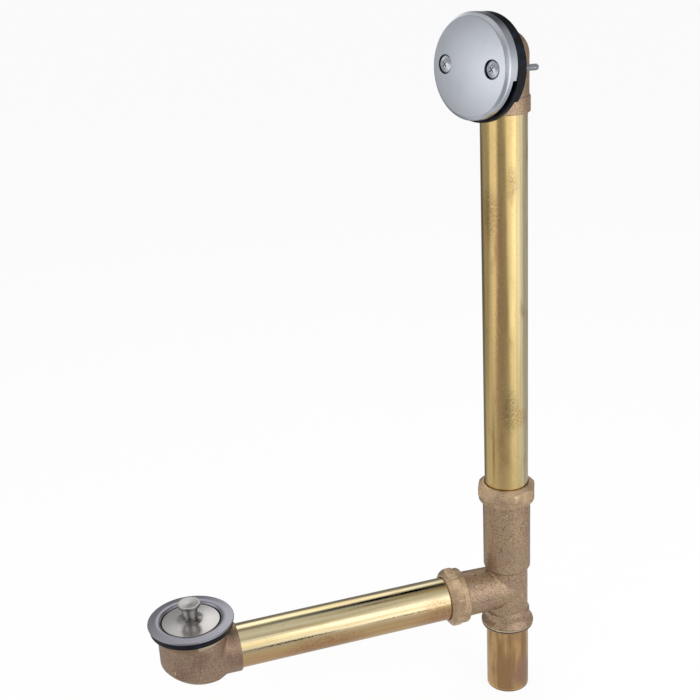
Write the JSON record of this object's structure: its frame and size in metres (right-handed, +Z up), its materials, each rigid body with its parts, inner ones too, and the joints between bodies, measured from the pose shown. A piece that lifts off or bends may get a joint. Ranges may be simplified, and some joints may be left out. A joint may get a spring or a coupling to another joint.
{
  "type": "bath waste and overflow",
  "caption": "Brass bath waste and overflow: drain shoe with lift-and-turn stopper, overflow head with face plate, tubes and a slip-joint tee.",
  "frame": {"origin": "centre of the drain, on the underside of its flange, where the bath floor sits", "axes": "+Z up along the riser, +X from the drain along the waste arm to the riser, +Y away from the viewer"},
  "size_m": [0.3535, 0.0875, 0.6186],
  "materials": {
    "cast_bronze": "sand-cast and tumbled, dull and grainy",
    "drawn_brass": "drawn tube, mill finish with light tarnish",
    "tarnished_brass": "drawn tube, brown tarnish",
    "satin_nickel": "satin nickel plate",
    "screw_steel": "plated steel",
    "turned_brass": "turned brass",
    "black_rubber": "moulded black rubber"
  },
  "bodies": {
    "root": {"waste_tee": "cast_bronze", "upper_slip_nut": "cast_bronze", "upper_slip_washer": "black_rubber", "side_slip_nut": "cast_bronze", "side_slip_washer": "black_rubber", "overflow_tube": "drawn_brass", "waste_arm": "drawn_brass", "tailpiece": "tarnished_brass", "overflow_elbow": "cast_bronze", "overflow_gasket": "black_rubber", "overflow_face_plate": "satin_nickel", "face_plate_screw_left": "screw_steel", "face_plate_screw_right": "screw_steel", "drain_shoe": "cast_bronze", "shoe_gasket": "black_rubber", "strainer_body": "satin_nickel", "stopper_post": "turned_brass", "stopper_cross_pin": "turned_brass"},
    "stopper_lift": {"stopper_seal": "black_rubber"},
    "stopper_turn": {"stopper_sleeve": "turned_brass", "stopper_cap": "satin_nickel", "stopper_knob": "satin_nickel"}
  },
  "joints": [
    {"name": "stopper_slide", "type": "slide", "parent": "root", "child": "stopper_lift", "axis": [0, 0, 1], "range_m": [0, 0.0085]},
    {"name": "stopper_twist", "type": "hinge", "parent": "stopper_lift", "child": "stopper_turn", "pos_m": [0, 0, 0], "axis": [0, 0, 1], "range_deg": [0, 90]}
  ]
}
